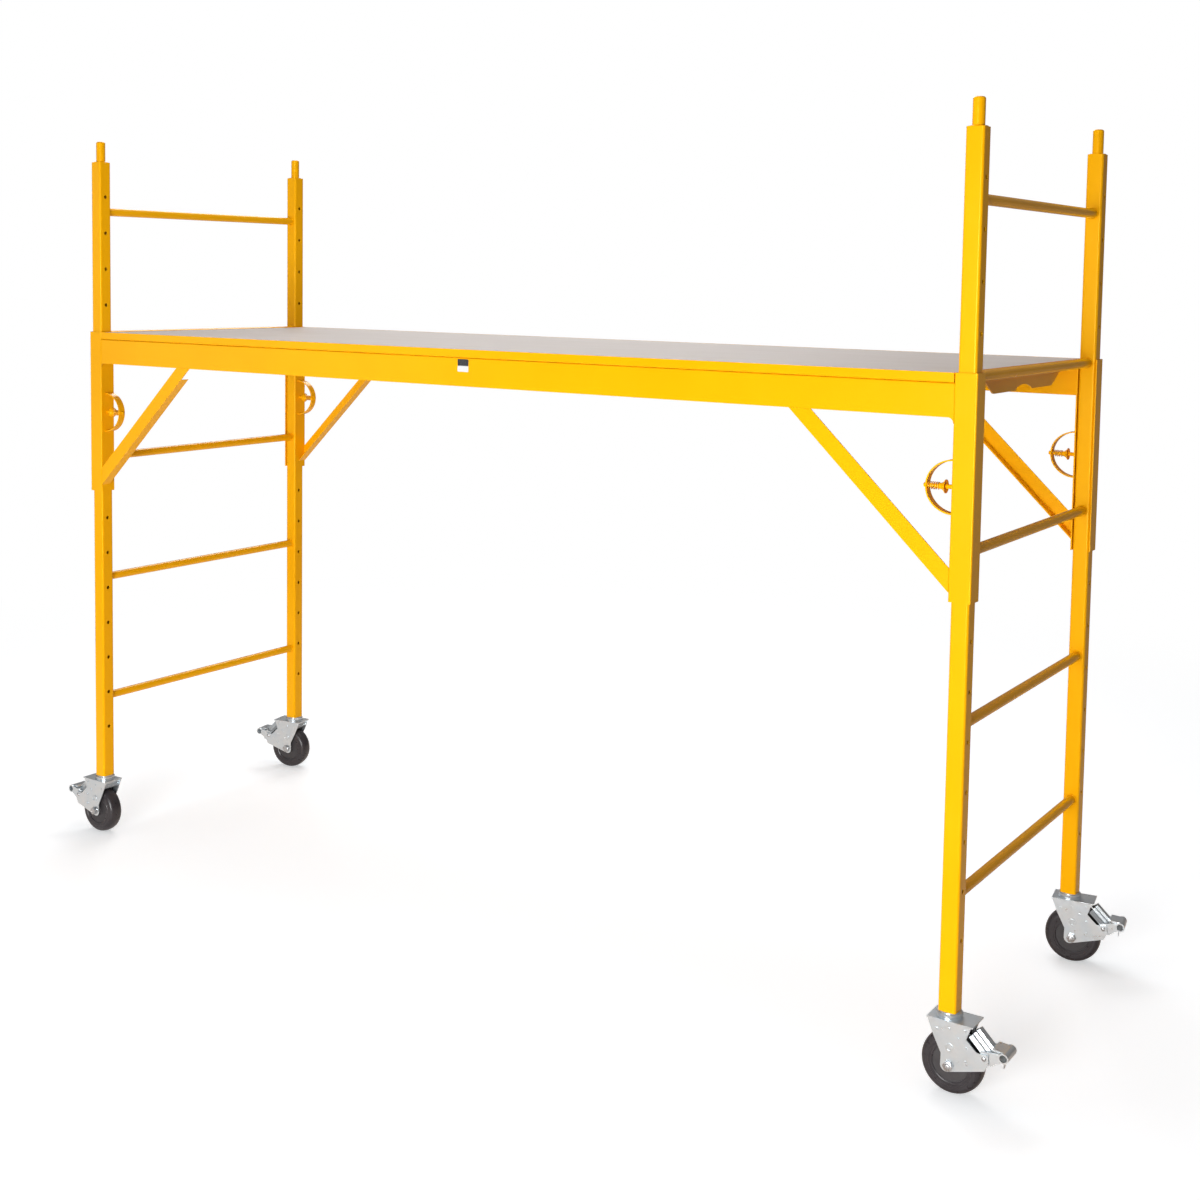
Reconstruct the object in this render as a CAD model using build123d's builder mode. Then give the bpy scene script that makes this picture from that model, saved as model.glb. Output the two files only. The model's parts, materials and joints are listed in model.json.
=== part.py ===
"""Baker scaffold: two ladder end frames on locking casters, and a deck between them
that rests on two side trusses which pin to the posts at the height wanted.

Millimetres, +Z up. The origin is on the floor, midway between the four posts.
+X runs along the deck and +Y from the front truss to the rear one.
Each corner is named by its place, and CORNERS holds its signs along X and Y.
"""

import os
from math import cos, radians, sin

from build123d import *

os.makedirs("parts", exist_ok=True)

# ---------------------------------------------------------------- driving dimensions

SPAN_X = 2572.0  # post centre to post centre along the deck
SPAN_Y = 781.0  # post centre to post centre across an end frame
CORNERS = {
    "front_left": (-1, -1),
    "front_right": (1, -1),
    "rear_left": (-1, 1),
    "rear_right": (1, 1),
}
CASTER_HEADINGS = {  # degrees from +X to the side the brake pedal is on
    "front_left": 180.0,
    "front_right": 0.0,
    "rear_left": 190.0,
    "rear_right": 9.0,
}

POST = 38.1  # square tube, outside
POST_WALL = 2.0
POST_CORNER = 5.5
POST_BASE = 168.0  # height of the tube's lower end
POST_HEIGHT = 1767.0
HOLES = 16
HOLE_PITCH = 101.6
HOLE_LOW = 313.5  # height of the lowest hole
HOLE_R = 5.0

RUNGS = 5
RUNG_R = 11.1
RUNG_WALL = 1.5
RUNG_PITCH = 349.25
RUNG_TOP = 1796.5

COUPLING_R = 12.4
COUPLING_HEIGHT = 58.0  # above the post's top
COUPLING_ROOT = 70.0  # below it
COUPLING_CROWN = 5.0
PLUG_THICK = 12.0  # square plug that holds a round pin in the square tube
PLUG_DEEP = 0.5  # plug top below the tube's mouth
PLUG_PLAY = 0.1  # square plug or insert to the tube's bore, both sides together

SHEET = 3.0  # truss steel
SLEEVE_GAP = 1.35  # sleeve to post, all round
SLEEVE_PAST = 2.0  # how far the sleeve's legs reach past the post
SLEEVE_BEND = 3.0
SLEEVE_TOP = 1456.5
SLEEVE_LENGTH = 455.0
LOCK_HOLE = 9  # the hole, counted from the lowest, that the pull pins stand in

RAIL_TOP = 1435.6
RAIL_BOTTOM = 1367.5
RAIL_FLANGE = 35.0
RAIL_BEND = 3.5
RAIL_GUSSET = 12.0

BRACE_HEAD_X = 903.0  # where a knee brace's lower edge leaves the rail
BRACE_FOOT_Z = 1020.3  # and where it reaches the sleeve
BRACE_WIDTH = 35.0
BRACE_FLANGE = 28.0
BRACE_FLANGE_DROP = 31.0  # the flange stops this far below the rail

GUARD_REACH = 60.0
GUARD_HALF = 55.5
GUARD_WIDTH = 20.0
GUARD_THICK = 3.0

PULL_PIN_R = 4.65
PULL_PIN_NOSE = 13.4  # from the sleeve's face into the post
PULL_PIN_TAIL = 66.0  # from the sleeve's face out through the guard
PULL_PIN_HOLE = 4.95
PULL_PIN_EASE = 1.2
COLLAR_FRONT = 19.0
COLLAR_BACK = 33.0
COLLAR_R = 14.0
COLLAR_RIM = 1.5
COLLAR_HOLLOW = 4.0  # depth of the recess that faces the sleeve
COLLAR_WAIST = (5.5, 9.0)  # behind the collar's front, and radius there
COLLAR_NECK_R = 6.0
SPRING_R = 7.0
SPRING_WIRE_R = 0.9
SPRING_TURNS = 4
SPRING_FRONT_GAP = 0.2  # to the collar
SPRING_BACK_GAP = 0.8  # to the guard

DECK_TOP = 1456.0
DECK_LIFT_GAP = 0.4  # between the rail and the deck edge that rests on it
EDGE_LEG = 44.0
EDGE_LEG_THICK = 2.5
DECK_END_GAP = 1.3  # deck end to sleeve
END_CHANNEL_BOTTOM = 1402.5
END_CHANNEL_SHOULDER = 250.0
END_CHANNEL_FOOT = 190.0
END_NOTCH_HALF = 50.0
END_NOTCH_RISE = 12.0
END_CHANNEL_ROUND = 22.0
PANEL_GAP = 0.3  # panel to the steel round it, and below the lips' tops
PANEL_EASE = 0.6
END_CHANNEL_GAP = 1.0  # end channel to the edge angles' legs
JOIST_WIDTH = 40.0
JOIST_HEIGHT = 30.0
JOIST_WALL = 2.5
JOIST_CORNER = 3.0
JOIST_GAP = 0.5  # joist end to the edge angle's leg
JOIST_PITCH = 645.0
SCREW_PITCH = 590.0
SCREW_INSET = 15.0
SCREW_HEAD_R = 5.5
SCREW_SHANK_R = 2.4
SCREW_PLAY = 0.15  # head to its countersink
SCREW_TIP_GAP = 0.2  # screw tip above the edge angle's underside
LABEL_AT = (40.7, 1417.5)  # X and height of the blank label plate's centre
LABEL_SIZE = (32.0, 30.0)
LABEL_THICK = 0.8
LABEL_CORNER = 2.0

WHEEL_R = 65.0
TYRE_HALF = 21.0
TYRE_CROWN = [(17.6, 59.9), (10.6, 63.7)]  # across and out from the axle, at the shoulder
TYRE_RING = (43.0, 47.0)  # radii of the raised ring on a sidewall
TYRE_RING_PROUD = 0.6
TYRE_EDGE_R = 53.5
CORE_R = 38.0
CORE_HALF = 18.5
CORE_SEAT = 0.02  # radial gap between core and tyre
HUB_HALF = 25.0
HUB_R = 14.0
AXLE_R = 6.0
AXLE_OUT = 11.5  # axle ahead of the swivel, towards the pedal
RUNNING_FIT = 0.06

YOKE_HALF = 29.0
YOKE_SHEET = 2.5
YOKE_TOP = 156.0
YOKE_PLATE = (-37.5, 60.0)  # ends of the top plate along the heading
YOKE_PLATE_HALF = 30.5
YOKE_PLATE_THICK = 3.0
YOKE_BEND = 3.0
YOKE_FOOT_ROUND = 13.0
YOKE_TIP_ROUND = 4.0
DIMPLE_R = 3.2
BOSS_R = 8.5
BOSS_BORE_R = 6.0
EMBOSS = 1.5  # how far dimples and boss stand out
LOWER_RACE_R = 25.5
LOWER_RACE_TOP = 160.0
UPPER_RACE_R = 27.0
UPPER_RACE_LOW = 160.3
UPPER_RACE_TOP = 165.8
RACE_EASE = 1.5
STEM_COLLAR_R = 22.0
KING_R = 6.0
KING_HEAD_R = 11.0
KING_HEAD_EASE = 2.0
KING_HEAD_LOW = 148.2
KING_HEAD_TOP = 152.7
STEM_R = 12.4
STEM_TOP = 240.0
STEM_INSERT_START = 2.0  # square insert above the post's lower end
STEM_INSERT_LENGTH = 20.0

BOLT_GAP = 0.1  # bolt heads to the yoke
WASHER_R = 11.5
WASHER_THICK = 1.6
HEX_R = 10.9
HEX_HEAD = 6.0
NUT_THICK = 8.0
BOLT_PAST_NUT = 3.0
THREAD_FIT = 0.05
PIVOT_AT = (83.5, 99.0)  # brake lever pivot: out from the swivel, up from the floor
PIVOT_R = 3.5
RIVET_R = 4.8

LEVER_HALF = 25.0
LEVER_SHEET = 3.0
LEVER_START = (66.0, 147.5)  # upper end of the lever's spine, which falls at 45 degrees
LEVER_RUN = 48.0
LEVER_STEPS = [(8.0, 0.0), (9.5, 6.0), (13.0, 7.5), (14.5, 13.5), (18.0, 15.0), (22.5, 23.0)]
PEDAL_ROLL_AT = (121.0, 108.0)
PEDAL_ROLL_R = 10.5
PEDAL_WEB_HALF = 20.0
SHOE_HALF = 22.0
TONGUE_HALF = 4.0

# ---------------------------------------------------------------- derived dimensions

POST_TOP = POST_BASE + POST_HEIGHT
POST_BORE = POST - 2 * POST_WALL
LOCK_Z = HOLE_LOW + LOCK_HOLE * HOLE_PITCH
SLEEVE_IN = POST / 2 + SLEEVE_GAP
SLEEVE_OUT = SLEEVE_IN + SHEET
SLEEVE_BOTTOM = SLEEVE_TOP - SLEEVE_LENGTH
FACE_X = SPAN_X / 2 - SLEEVE_OUT  # the sleeve faces that look along the deck
FACE_Y = SPAN_Y / 2 + SLEEVE_OUT  # the trusses' outer plane
DECK_HALF = FACE_X - DECK_END_GAP
EDGE_LOW = RAIL_TOP + DECK_LIFT_GAP
PANEL_LOW = EDGE_LOW + EDGE_LEG_THICK
PANEL_TOP = DECK_TOP - PANEL_GAP
CROSSWISE = Plane(origin=(0, 0, 0), x_dir=(0, 1, 0), z_dir=(1, 0, 0))  # X of it is Y


def save(part, name):
    """Label a finished piece and write it."""
    part.label = name
    export_step(part, f"parts/{name}.step")


def post_axis(corner):
    """Plan position of a corner's post."""
    sx, sy = CORNERS[corner]
    return sx * SPAN_X / 2, sy * SPAN_Y / 2


# ---------------------------------------------------------------- end frames


def build_post(corner):
    """Square tube with its row of height holes through both X walls."""
    x, y = post_axis(corner)
    with BuildPart() as post:
        with BuildSketch(Plane(origin=(x, y, POST_BASE))):
            RectangleRounded(POST, POST, POST_CORNER)
            RectangleRounded(POST_BORE, POST_BORE, POST_CORNER - POST_WALL, mode=Mode.SUBTRACT)
        extrude(amount=POST_HEIGHT)
        with BuildSketch(Plane(origin=(x, y, HOLE_LOW), x_dir=(0, 1, 0), z_dir=(1, 0, 0))):
            with Locations(*[(0, i * HOLE_PITCH) for i in range(HOLES)]):
                Circle(HOLE_R)
        extrude(amount=POST, both=True, mode=Mode.SUBTRACT)
    return post.part


def build_rungs(sx):
    """The five round rungs of one end frame, each a tube between its posts."""
    start = -SPAN_Y / 2 + POST / 2
    with BuildPart() as rungs:
        for i in range(RUNGS):
            level = RUNG_TOP - i * RUNG_PITCH
            centre = (sx * SPAN_X / 2, start, level)
            with BuildSketch(Plane(origin=centre, x_dir=(1, 0, 0), z_dir=(0, 1, 0))):
                Circle(RUNG_R)
                Circle(RUNG_R - RUNG_WALL, mode=Mode.SUBTRACT)
            extrude(amount=SPAN_Y - POST)
    return rungs.part


def build_coupling_pins():
    """Four stacking pins, each round with a square plug that fills the post's mouth."""
    plug = POST_BORE - PLUG_PLAY
    with BuildPart() as pins:
        for corner in CORNERS:
            x, y = post_axis(corner)
            with BuildSketch(Plane(origin=(x, y, POST_TOP - COUPLING_ROOT))):
                Circle(COUPLING_R)
            extrude(amount=COUPLING_ROOT + COUPLING_HEIGHT)
        fillet(pins.edges().group_by(Axis.Z)[-1], COUPLING_CROWN)
        for corner in CORNERS:
            x, y = post_axis(corner)
            with BuildSketch(Plane(origin=(x, y, POST_TOP - PLUG_DEEP - PLUG_THICK))):
                RectangleRounded(plug, plug, POST_CORNER - POST_WALL)
            extrude(amount=PLUG_THICK)
    return pins.part


def build_caster_stems():
    """Four stems, each with the fixed ball race and the king pin that carries a yoke."""
    insert = POST_BORE - PLUG_PLAY
    with BuildPart() as stems:
        for corner in CORNERS:
            x, y = post_axis(corner)
            with BuildSketch(Plane(origin=(x, y, 0), x_dir=(1, 0, 0), z_dir=(0, -1, 0))):
                with BuildLine():
                    Polyline(
                        (0, KING_HEAD_LOW),
                        (KING_HEAD_R - KING_HEAD_EASE, KING_HEAD_LOW),
                        (KING_HEAD_R, KING_HEAD_LOW + KING_HEAD_EASE),
                        (KING_HEAD_R, KING_HEAD_TOP),
                        (KING_R, KING_HEAD_TOP),
                        (KING_R, UPPER_RACE_LOW),
                        (UPPER_RACE_R - RACE_EASE, UPPER_RACE_LOW),
                        (UPPER_RACE_R, UPPER_RACE_LOW + RACE_EASE),
                        (UPPER_RACE_R, UPPER_RACE_TOP - RACE_EASE),
                        (UPPER_RACE_R - RACE_EASE, UPPER_RACE_TOP),
                        (STEM_COLLAR_R, UPPER_RACE_TOP),
                        (STEM_COLLAR_R, POST_BASE),
                        (STEM_R, POST_BASE),
                        (STEM_R, STEM_TOP),
                        (0, STEM_TOP),
                        close=True,
                    )
                make_face()
            revolve(axis=Axis((x, y, 0), (0, 0, 1)))
            with BuildSketch(Plane(origin=(x, y, POST_BASE + STEM_INSERT_START))):
                RectangleRounded(insert, insert, POST_CORNER - POST_WALL)
            extrude(amount=STEM_INSERT_LENGTH)
    return stems.part


# ---------------------------------------------------------------- side trusses


def build_rail(sy):
    """Bent side rail: a tall outer leg and the flange that the deck rests on."""
    with BuildPart() as rail:
        with BuildSketch(CROSSWISE):
            with BuildLine():
                Polyline(
                    (sy * FACE_Y, RAIL_BOTTOM),
                    (sy * FACE_Y, RAIL_TOP),
                    (sy * (FACE_Y - RAIL_FLANGE), RAIL_TOP),
                    (sy * (FACE_Y - RAIL_FLANGE), RAIL_TOP - SHEET),
                    (sy * (FACE_Y - SHEET), RAIL_TOP - SHEET),
                    (sy * (FACE_Y - SHEET), RAIL_BOTTOM),
                    close=True,
                )
            make_face()
        extrude(amount=FACE_X, both=True)
        bend = rail.edges().filter_by(Axis.X).group_by(Axis.Z)[-1].sort_by(Axis.Y)
        fillet(bend[-1] if sy > 0 else bend[0], RAIL_BEND)
        for sx in (-1, 1):
            corner = (sx * FACE_X, sy * FACE_Y, RAIL_BOTTOM)
            with BuildSketch(Plane(origin=corner, x_dir=(-sx, 0, 0), z_dir=(0, sx, 0))):
                with Locations((RAIL_GUSSET / 2, -RAIL_GUSSET / 2)):
                    Rectangle(RAIL_GUSSET, RAIL_GUSSET)
                with Locations((RAIL_GUSSET, -RAIL_GUSSET)):
                    Circle(RAIL_GUSSET, mode=Mode.SUBTRACT)
            extrude(amount=-sx * sy * SHEET)
    return rail.part


def build_sleeve(corner):
    """C-shaped sleeve round a post, open towards the rungs."""
    sx, sy = CORNERS[corner]
    x, y = post_axis(corner)
    depth = SLEEVE_OUT + POST / 2 + SLEEVE_PAST
    centre = sy * (SLEEVE_OUT - depth / 2)
    with BuildPart() as sleeve:
        with BuildSketch(Plane(origin=(x, y, SLEEVE_BOTTOM))) as section:
            with Locations((0, centre)):
                Rectangle(2 * SLEEVE_OUT, depth)
            outer = section.vertices().group_by(Axis.Y)[-1 if sy > 0 else 0]
            fillet(outer, SLEEVE_BEND)
            with Locations((0, centre - sy * SHEET)):
                Rectangle(2 * SLEEVE_IN, depth, mode=Mode.SUBTRACT)
        extrude(amount=SLEEVE_LENGTH)
        face = (x - sx * SLEEVE_OUT, y, LOCK_Z)
        with BuildSketch(Plane(origin=face, x_dir=(0, 1, 0), z_dir=(sx, 0, 0))):
            Circle(PULL_PIN_HOLE)
        extrude(amount=2 * SHEET, mode=Mode.SUBTRACT)
    return sleeve.part


def build_knee_brace(corner):
    """L-angle from rail to sleeve, its lower flange cut short of the rail."""
    sx, sy = CORNERS[corner]
    run = FACE_X - BRACE_HEAD_X
    drop = RAIL_BOTTOM - BRACE_FOOT_Z
    length = (run**2 + drop**2) ** 0.5
    wide_x = BRACE_WIDTH * length / drop
    wide_z = BRACE_WIDTH * length / run
    thick_x = SHEET * length / drop
    thick_z = SHEET * length / run
    head_x = BRACE_HEAD_X + BRACE_FLANGE_DROP * run / drop
    head_z = RAIL_BOTTOM - BRACE_FLANGE_DROP
    outer = Plane(origin=(0, sy * FACE_Y, 0), x_dir=(1, 0, 0), z_dir=(0, -1, 0))
    with BuildPart() as brace:
        with BuildSketch(outer):
            with BuildLine():
                Polyline(
                    (sx * BRACE_HEAD_X, RAIL_BOTTOM),
                    (sx * (BRACE_HEAD_X + wide_x), RAIL_BOTTOM),
                    (sx * FACE_X, BRACE_FOOT_Z + wide_z),
                    (sx * FACE_X, BRACE_FOOT_Z),
                    close=True,
                )
            make_face()
        extrude(amount=sy * SHEET)
        with BuildSketch(outer):
            with BuildLine():
                Polyline(
                    (sx * head_x, head_z),
                    (sx * (head_x + thick_x), head_z),
                    (sx * FACE_X, BRACE_FOOT_Z + thick_z),
                    (sx * FACE_X, BRACE_FOOT_Z),
                    close=True,
                )
            make_face()
        extrude(amount=sy * BRACE_FLANGE)
    return brace.part


def pull_pin_plane(corner):
    """Plane through a pull pin: X away from the sleeve's face, Y up."""
    sx, _ = CORNERS[corner]
    _, y = post_axis(corner)
    return Plane(origin=(sx * FACE_X, y, LOCK_Z), x_dir=(-sx, 0, 0), z_dir=(0, sx, 0))


def build_pin_guard(corner):
    """D-shaped strap that covers a pull pin and guides its tail."""
    sx, _ = CORNERS[corner]
    plane = pull_pin_plane(corner)
    with BuildPart() as guard:
        with BuildSketch(plane):
            Ellipse(GUARD_REACH, GUARD_HALF)
            Ellipse(GUARD_REACH - GUARD_THICK, GUARD_HALF - GUARD_THICK, mode=Mode.SUBTRACT)
            with Locations((-GUARD_REACH / 2, 0)):
                Rectangle(GUARD_REACH, 2 * GUARD_HALF, mode=Mode.SUBTRACT)
        extrude(amount=GUARD_WIDTH / 2, both=True)
        with BuildSketch(Plane(origin=plane.origin, x_dir=(0, 1, 0), z_dir=(-sx, 0, 0))):
            Circle(PULL_PIN_HOLE)
        extrude(amount=2 * GUARD_REACH, mode=Mode.SUBTRACT)
    return guard.part


def build_pull_pin(corner):
    """Locking pin: nose in the post, bell-shaped finger collar, tail through the guard."""
    plane = pull_pin_plane(corner)
    bell_rim = (COLLAR_FRONT + COLLAR_RIM, COLLAR_R)
    bell_mid = (COLLAR_FRONT + COLLAR_WAIST[0], COLLAR_WAIST[1])
    bell_end = (COLLAR_BACK, COLLAR_NECK_R)
    with BuildPart() as pin:
        with BuildSketch(plane):
            with BuildLine():
                Polyline(
                    bell_end,
                    (COLLAR_BACK, PULL_PIN_R),
                    (PULL_PIN_TAIL - PULL_PIN_EASE, PULL_PIN_R),
                    (PULL_PIN_TAIL, PULL_PIN_R - PULL_PIN_EASE),
                    (PULL_PIN_TAIL, 0),
                    (-PULL_PIN_NOSE, 0),
                    (-PULL_PIN_NOSE, PULL_PIN_R - PULL_PIN_EASE),
                    (-PULL_PIN_NOSE + PULL_PIN_EASE, PULL_PIN_R),
                    (COLLAR_FRONT + COLLAR_HOLLOW, PULL_PIN_R),
                    (COLLAR_FRONT, COLLAR_R - COLLAR_RIM),
                    (COLLAR_FRONT, COLLAR_R),
                    bell_rim,
                )
                ThreePointArc(bell_rim, bell_mid, bell_end)
            make_face()
        revolve(axis=Axis(plane.origin, plane.x_dir))
    return pin.part


def build_pin_spring(corner):
    """Coil between a pull pin's collar and its guard."""
    sx, _ = CORNERS[corner]
    plane = pull_pin_plane(corner)
    low = COLLAR_BACK + SPRING_WIRE_R + SPRING_FRONT_GAP
    high = GUARD_REACH - GUARD_THICK - SPRING_WIRE_R - SPRING_BACK_GAP
    start = plane.from_local_coords(Vector(low, 0, 0))
    with BuildPart() as spring:
        with BuildLine() as coil:
            Helix(
                pitch=(high - low) / SPRING_TURNS,
                height=high - low,
                radius=SPRING_R,
                center=start,
                direction=(-sx, 0, 0),
            )
        with BuildSketch(Plane(origin=coil.line @ 0, z_dir=coil.line % 0)):
            Circle(SPRING_WIRE_R)
        sweep(is_frenet=True)
    return spring.part


def build_label_plate():
    """Small blank plate on the front rail."""
    x, z = LABEL_AT
    with BuildPart() as plate:
        with BuildSketch(Plane(origin=(x, -FACE_Y, z), x_dir=(1, 0, 0), z_dir=(0, -1, 0))):
            RectangleRounded(*LABEL_SIZE, LABEL_CORNER)
        extrude(amount=LABEL_THICK)
    return plate.part


# ---------------------------------------------------------------- deck


def build_deck_edge(sy):
    """Steel angle along a long edge of the deck: lip outside, leg under the panel."""
    with BuildPart() as edge:
        with BuildSketch(CROSSWISE):
            with BuildLine():
                Polyline(
                    (sy * FACE_Y, EDGE_LOW),
                    (sy * FACE_Y, DECK_TOP),
                    (sy * (FACE_Y - SHEET), DECK_TOP),
                    (sy * (FACE_Y - SHEET), PANEL_LOW),
                    (sy * (FACE_Y - EDGE_LEG), PANEL_LOW),
                    (sy * (FACE_Y - EDGE_LEG), EDGE_LOW),
                    close=True,
                )
            make_face()
        extrude(amount=DECK_HALF, both=True)
        bend = edge.edges().filter_by(Axis.X).group_by(Axis.Z)[0].sort_by(Axis.Y)
        fillet(bend[-1] if sy > 0 else bend[0], RAIL_BEND)
    return edge.part


def screw_spots():
    """Plan positions of the deck's screws: a row along each long edge."""
    row_y = FACE_Y - SHEET - SCREW_INSET
    return [(i * SCREW_PITCH, s * row_y) for i in range(-2, 3) for s in (-1, 1)]


def build_deck_panel():
    """Plywood panel inside the steel edges, its top edges eased, countersunk for its screws."""
    length = 2 * (DECK_HALF - SHEET - PANEL_GAP)
    width = 2 * (FACE_Y - SHEET - PANEL_GAP)
    with BuildPart() as panel:
        with BuildSketch(Plane.XY.offset(PANEL_LOW)):
            Rectangle(length, width)
        extrude(amount=PANEL_TOP - PANEL_LOW)
        chamfer(panel.edges().group_by(Axis.Z)[-1], PANEL_EASE)
        for x, y in screw_spots():
            with Locations((x, y, PANEL_TOP)):
                CounterSinkHole(SCREW_SHANK_R + SCREW_PLAY, SCREW_HEAD_R + SCREW_PLAY)
    return panel.part


def build_deck_end_channel(sx):
    """End plate across the deck, deeper in the middle, with tapered ends and a notch."""
    half = FACE_Y - SHEET - PANEL_GAP
    leg_y = FACE_Y - EDGE_LEG - END_CHANNEL_GAP
    shelf_z = PANEL_LOW + PANEL_GAP
    plane = Plane(origin=(sx * DECK_HALF, 0, 0), x_dir=(0, 1, 0), z_dir=(1, 0, 0))
    with BuildPart() as channel:
        with BuildSketch(plane) as outline:
            with BuildLine():
                Polyline(
                    (-half, PANEL_TOP),
                    (half, PANEL_TOP),
                    (half, shelf_z),
                    (leg_y, shelf_z),
                    (leg_y, EDGE_LOW),
                    (END_CHANNEL_SHOULDER, EDGE_LOW),
                    (END_CHANNEL_FOOT, END_CHANNEL_BOTTOM),
                    (-END_CHANNEL_FOOT, END_CHANNEL_BOTTOM),
                    (-END_CHANNEL_SHOULDER, EDGE_LOW),
                    (-leg_y, EDGE_LOW),
                    (-leg_y, shelf_z),
                    (-half, shelf_z),
                    close=True,
                )
            make_face()
            fillet(outline.vertices().group_by(Axis.Y)[0], END_CHANNEL_ROUND)
            with Locations((0, END_CHANNEL_BOTTOM)):
                Ellipse(END_NOTCH_HALF, END_NOTCH_RISE, mode=Mode.SUBTRACT)
        extrude(amount=-sx * SHEET)
    return channel.part


def build_deck_joists():
    """Three hollow joists under the panel, between the two edge angles."""
    reach = FACE_Y - EDGE_LEG - JOIST_GAP
    centre_z = PANEL_LOW - JOIST_HEIGHT / 2
    bore = (JOIST_WIDTH - 2 * JOIST_WALL, JOIST_HEIGHT - 2 * JOIST_WALL)
    with BuildPart() as joists:
        with BuildSketch(Plane(origin=(0, 0, centre_z), x_dir=(1, 0, 0), z_dir=(0, -1, 0))):
            with Locations((-JOIST_PITCH, 0), (0, 0), (JOIST_PITCH, 0)):
                RectangleRounded(JOIST_WIDTH, JOIST_HEIGHT, JOIST_CORNER)
                RectangleRounded(*bore, JOIST_CORNER / 2, mode=Mode.SUBTRACT)
        extrude(amount=reach, both=True)
    return joists.part


def build_deck_screws():
    """Countersunk screws that hold the panel down on its edge angles."""
    slope = SCREW_HEAD_R - SCREW_SHANK_R
    with BuildPart() as screws:
        for x, y in screw_spots():
            with BuildSketch(Plane(origin=(x, y, 0), x_dir=(1, 0, 0), z_dir=(0, -1, 0))):
                with BuildLine():
                    Polyline(
                        (0, PANEL_TOP),
                        (SCREW_HEAD_R, PANEL_TOP),
                        (SCREW_SHANK_R, PANEL_TOP - slope),
                        (SCREW_SHANK_R, EDGE_LOW + SCREW_TIP_GAP),
                        (0, EDGE_LOW + SCREW_TIP_GAP),
                        close=True,
                    )
                make_face()
            revolve(axis=Axis((x, y, 0), (0, 0, 1)))
    return screws.part


# ---------------------------------------------------------------- casters

YOKE_OUTLINE = [  # out from the swivel towards the pedal, up from the floor
    (-37.5, YOKE_TOP),
    (56.5, YOKE_TOP),
    (46.5, 127.5),
    (57.5, 116.5),
    (68.0, 107.0),
    (77.0, 106.0),
    (91.0, 107.5),
    (93.5, 90.0),
    (85.5, 73.5),
    (-6.5, 46.0),
    (-5.5, 86.0),
    (-24.0, 123.0),
]
YOKE_END_WEB = [  # corrugated, under the top plate at the end away from the pedal
    (-36.0, YOKE_TOP - 1.0),
    (-29.5, 149.0),
    (-32.0, 145.0),
    (-26.0, 140.5),
    (-28.5, 136.5),
    (-22.5, 132.0),
]
YOKE_END_WEB_THICK = 2.8
YOKE_DIMPLES = [(-16, 134), (9.5, 140), (42, 143.5), (29, 125), (45.5, 109), (45.5, 80.5)]
YOKE_BOSS = (12.0, 102.0)
LEVER_CHEEK = [
    (74.0, 109.0),
    (88.0, 112.0),
    (113.0, 115.5),
    (115.0, 98.0),
    (106.0, 93.0),
    (97.0, 85.5),
    (88.0, 85.5),
    (78.5, 92.0),
]
PEDAL_WEB = [(95.0, 117.5), (98.0, 120.5), (121.0, 118.4), (121.0, 115.5), (103.0, 115.5)]
BRAKE_SHOE = [(76.8, 86.0), (88.0, 88.0), (88.0, 103.0), (73.5, 100.0)]
PEDAL_TONGUE = [(114.5, 101.0), (118.5, 100.0), (116.5, 78.0), (114.5, 78.0)]


def caster_directions(corner):
    """Unit vectors of a caster: towards its pedal, and to the left of that."""
    turn = radians(CASTER_HEADINGS[corner])
    return Vector(cos(turn), sin(turn), 0), Vector(-sin(turn), cos(turn), 0)


def caster_side(corner):
    """Upright plane through a swivel: X towards the pedal, Y up."""
    ahead, left = caster_directions(corner)
    return Plane(origin=(*post_axis(corner), 0), x_dir=ahead, z_dir=-left)


def caster_across(corner):
    """Upright plane across a caster at its axle: X to the left, Y up, origin on the axle."""
    ahead, left = caster_directions(corner)
    axle = caster_side(corner).from_local_coords(Vector(AXLE_OUT, WHEEL_R, 0))
    return Plane(origin=axle, x_dir=left, z_dir=ahead)


def lever_across(corner):
    """Plane square to a brake lever's spine, at its upper end: X to the left, Y out of it."""
    ahead, left = caster_directions(corner)
    start = caster_side(corner).from_local_coords(Vector(*LEVER_START, 0))
    return Plane(origin=start, x_dir=left, z_dir=ahead - Vector(0, 0, 1))


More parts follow.
